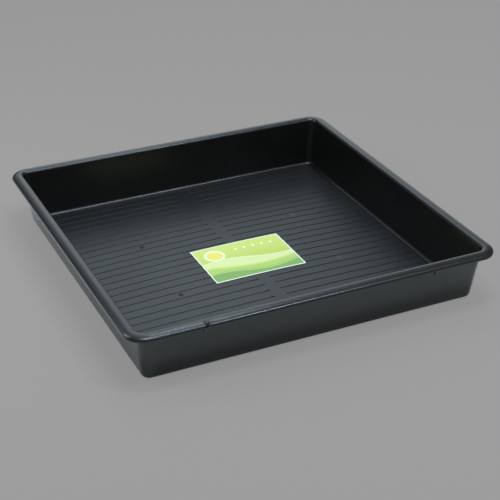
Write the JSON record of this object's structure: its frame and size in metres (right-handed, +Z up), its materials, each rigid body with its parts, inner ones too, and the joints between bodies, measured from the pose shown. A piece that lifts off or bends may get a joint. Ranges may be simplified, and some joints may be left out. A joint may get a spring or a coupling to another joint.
{
  "type": "drip tray",
  "caption": "Square moulded plastic drip tray for plant pots, with leaning walls, a rolled rim, a ribbed and slightly domed floor and a paper label on the floor.",
  "frame": {"origin": "middle of the resting face, under the centre of the floor", "axes": "+X along the ribs to the right, +Y to the back, +Z up out of the tray"},
  "size_m": [0.8, 0.8, 0.116],
  "materials": {
    "tray_plastic": "satin moulded polypropylene, charcoal black",
    "label_paper": "coated paper, printed in lime green with a white border"
  },
  "bodies": {
    "root": {"tray": "tray_plastic", "label": "label_paper"}
  },
  "joints": []
}
